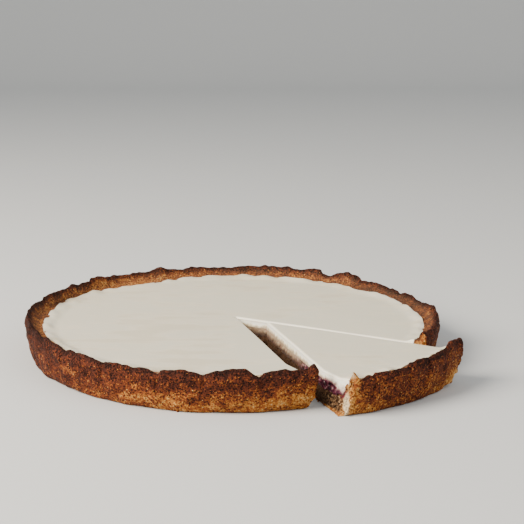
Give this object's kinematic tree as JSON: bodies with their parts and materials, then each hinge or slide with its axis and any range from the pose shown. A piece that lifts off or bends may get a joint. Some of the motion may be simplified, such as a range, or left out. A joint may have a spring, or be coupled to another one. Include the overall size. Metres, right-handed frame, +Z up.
{
  "type": "lingonberry pie",
  "caption": "Round open pie with a rough browned crust, a dark lingonberry layer and a set white cream top, one wedge slice drawn part way out.",
  "frame": {"origin": "middle of the whole pie, on its flat base", "axes": "+Z up through the pie, -Y towards the picture's viewer, +X to the picture's right; the slice is drawn towards +X and -Y"},
  "size_m": [0.2772, 0.2729, 0.0302],
  "materials": {
    "crust": "rough browned pastry, darker at the rim",
    "berries": "moist dark red fruit",
    "cream": "soft satin set cream"
  },
  "bodies": {
    "root": {"pie_crust": "crust", "pie_berries": "berries", "pie_cream": "cream", "slice_crust": "crust", "slice_berries": "berries", "slice_cream": "cream"}
  },
  "joints": []
}
